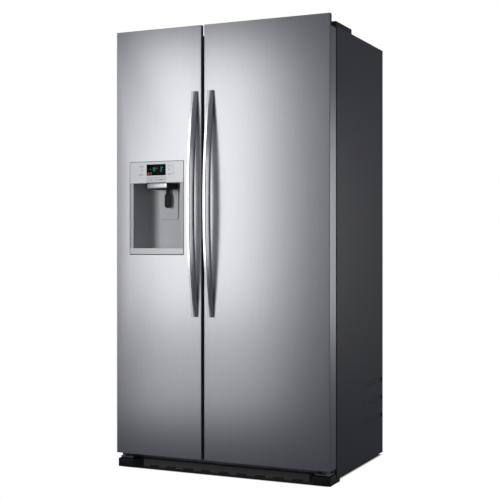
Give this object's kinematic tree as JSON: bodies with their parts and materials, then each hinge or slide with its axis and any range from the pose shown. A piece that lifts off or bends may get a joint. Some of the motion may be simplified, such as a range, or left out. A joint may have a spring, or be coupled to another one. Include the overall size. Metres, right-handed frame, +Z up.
{
  "type": "side by side refrigerator",
  "caption": "Side by side refrigerator with stainless doors, bowed bar handles and an ice and water dispenser in the freezer door.",
  "frame": {"origin": "middle of the overall box's footprint, at floor height", "axes": "+Z up, -Y out of the doors, +X to the right as seen from the front"},
  "size_m": [0.908, 0.698, 1.736],
  "materials": {
    "stainless": "vertical brushed grain, satin",
    "handle_steel": "fine brushed, satin",
    "side_paint": "satin dark grey textured paint",
    "zinc_steel": "satin zinc plated steel",
    "black_plastic": "matte",
    "toe_plastic": "matte dark grey",
    "black_enamel": "satin black enamel",
    "copper": "satin fins and tube",
    "foam": "matte foamed polyurethane",
    "liner_plastic": "satin white",
    "glass": "polished",
    "clear_plastic": "clear moulded",
    "gasket_rubber": "matte",
    "silver_plastic": "satin silver paint",
    "display_black": "gloss"
  },
  "bodies": {
    "cabinet": {"cabinet_wrapper": "side_paint", "back_panel": "zinc_steel", "insulation_foam": "foam", "freezer_liner": "liner_plastic", "fridge_liner": "liner_plastic", "base_frame": "zinc_steel", "toe_grille": "toe_plastic", "machine_cover": "zinc_steel", "power_gland": "black_plastic", "compressor": "black_enamel", "condenser_coil": "copper", "fan_shroud": "zinc_steel", "evaporator_cover": "liner_plastic", "air_duct_panel": "liner_plastic", "ice_maker": "liner_plastic", "foot_cover_left": "toe_plastic", "foot_cover_right": "toe_plastic", "leveling_leg_left": "zinc_steel", "leveling_leg_right": "zinc_steel", "upper_hinge_left": "zinc_steel", "upper_hinge_right": "zinc_steel", "lower_hinge_left": "zinc_steel", "lower_hinge_right": "zinc_steel", "hinge_cover_left": "black_plastic", "hinge_cover_right": "black_plastic", "freezer_shelf_upper": "glass", "freezer_shelf_lower": "glass", "fridge_shelf_upper": "glass", "fridge_shelf_lower": "glass", "crisper_cover": "glass"},
    "freezer_door": {"freezer_door_skin": "stainless", "freezer_door_cap": "black_plastic", "freezer_door_liner": "liner_plastic", "freezer_gasket": "gasket_rubber", "freezer_handle": "handle_steel", "freezer_bin_upper": "clear_plastic", "freezer_bin_lower": "clear_plastic", "dispenser_housing": "silver_plastic", "control_panel": "silver_plastic", "display_window": "display_black", "nozzle_cover": "silver_plastic", "drip_tray": "silver_plastic"},
    "fridge_door": {"fridge_door_skin": "stainless", "fridge_door_cap": "black_plastic", "fridge_door_liner": "liner_plastic", "fridge_gasket": "gasket_rubber", "fridge_handle": "handle_steel", "fridge_bin_upper": "clear_plastic", "fridge_bin_lower": "clear_plastic"},
    "condenser_fan": {"condenser_fan": "black_plastic"},
    "rear_roller_left": {"rear_roller_left": "black_plastic"},
    "rear_roller_right": {"rear_roller_right": "black_plastic"},
    "ice_bucket": {"ice_bucket": "liner_plastic"},
    "freezer_drawer_upper": {"freezer_drawer_upper": "clear_plastic"},
    "freezer_drawer_lower": {"freezer_drawer_lower": "clear_plastic"},
    "crisper_drawer_upper": {"crisper_drawer_upper": "clear_plastic"},
    "crisper_drawer_lower": {"crisper_drawer_lower": "clear_plastic"},
    "dispenser_lever": {"dispenser_lever": "black_plastic"},
    "water_key": {"water_key": "silver_plastic"},
    "ice_key": {"ice_key": "silver_plastic"}
  },
  "joints": [
    {"name": "freezer_door_hinge", "type": "hinge", "parent": "cabinet", "child": "freezer_door", "pos_m": [-0.434, -0.269, 0.9], "axis": [0, 0, -1], "range_deg": [0, 120]},
    {"name": "fridge_door_hinge", "type": "hinge", "parent": "cabinet", "child": "fridge_door", "pos_m": [0.434, -0.269, 0.9], "axis": [0, 0, 1], "range_deg": [0, 120]},
    {"name": "dispenser_lever_pivot", "type": "hinge", "parent": "freezer_door", "child": "dispenser_lever", "pos_m": [-0.27285, -0.205, 1.118], "axis": [1, 0, 0], "range_deg": [0, 7], "stiffness_Nm_per_rad": 0.6, "springref_deg": -8.59},
    {"name": "water_key_press", "type": "slide", "parent": "freezer_door", "child": "water_key", "axis": [0, 1, 0], "range_m": [0, 0.0015], "stiffness_N_per_m": 600, "springref_m": -0.001},
    {"name": "ice_key_press", "type": "slide", "parent": "freezer_door", "child": "ice_key", "axis": [0, 1, 0], "range_m": [0, 0.0015], "stiffness_N_per_m": 600, "springref_m": -0.001},
    {"name": "ice_bucket_slide", "type": "slide", "parent": "cabinet", "child": "ice_bucket", "axis": [0, -1, 0], "range_m": [0, 0.02]},
    {"name": "freezer_drawer_upper_slide", "type": "slide", "parent": "cabinet", "child": "freezer_drawer_upper", "axis": [0, -1, 0], "range_m": [0, 0.07]},
    {"name": "freezer_drawer_lower_slide", "type": "slide", "parent": "cabinet", "child": "freezer_drawer_lower", "axis": [0, -1, 0], "range_m": [0, 0.07]},
    {"name": "crisper_drawer_upper_slide", "type": "slide", "parent": "cabinet", "child": "crisper_drawer_upper", "axis": [0, -1, 0], "range_m": [0, 0.07]},
    {"name": "crisper_drawer_lower_slide", "type": "slide", "parent": "cabinet", "child": "crisper_drawer_lower", "axis": [0, -1, 0], "range_m": [0, 0.07]},
    {"name": "rear_roller_left_spin", "type": "hinge", "parent": "cabinet", "child": "rear_roller_left", "pos_m": [-0.413, 0.282, 0.02], "axis": [1, 0, 0], "continuous": true},
    {"name": "rear_roller_right_spin", "type": "hinge", "parent": "cabinet", "child": "rear_roller_right", "pos_m": [0.413, 0.282, 0.02], "axis": [1, 0, 0], "continuous": true},
    {"name": "condenser_fan_spin", "type": "hinge", "parent": "cabinet", "child": "condenser_fan", "pos_m": [0.12, 0.24, 0.135], "axis": [1, 0, 0], "continuous": true}
  ]
}
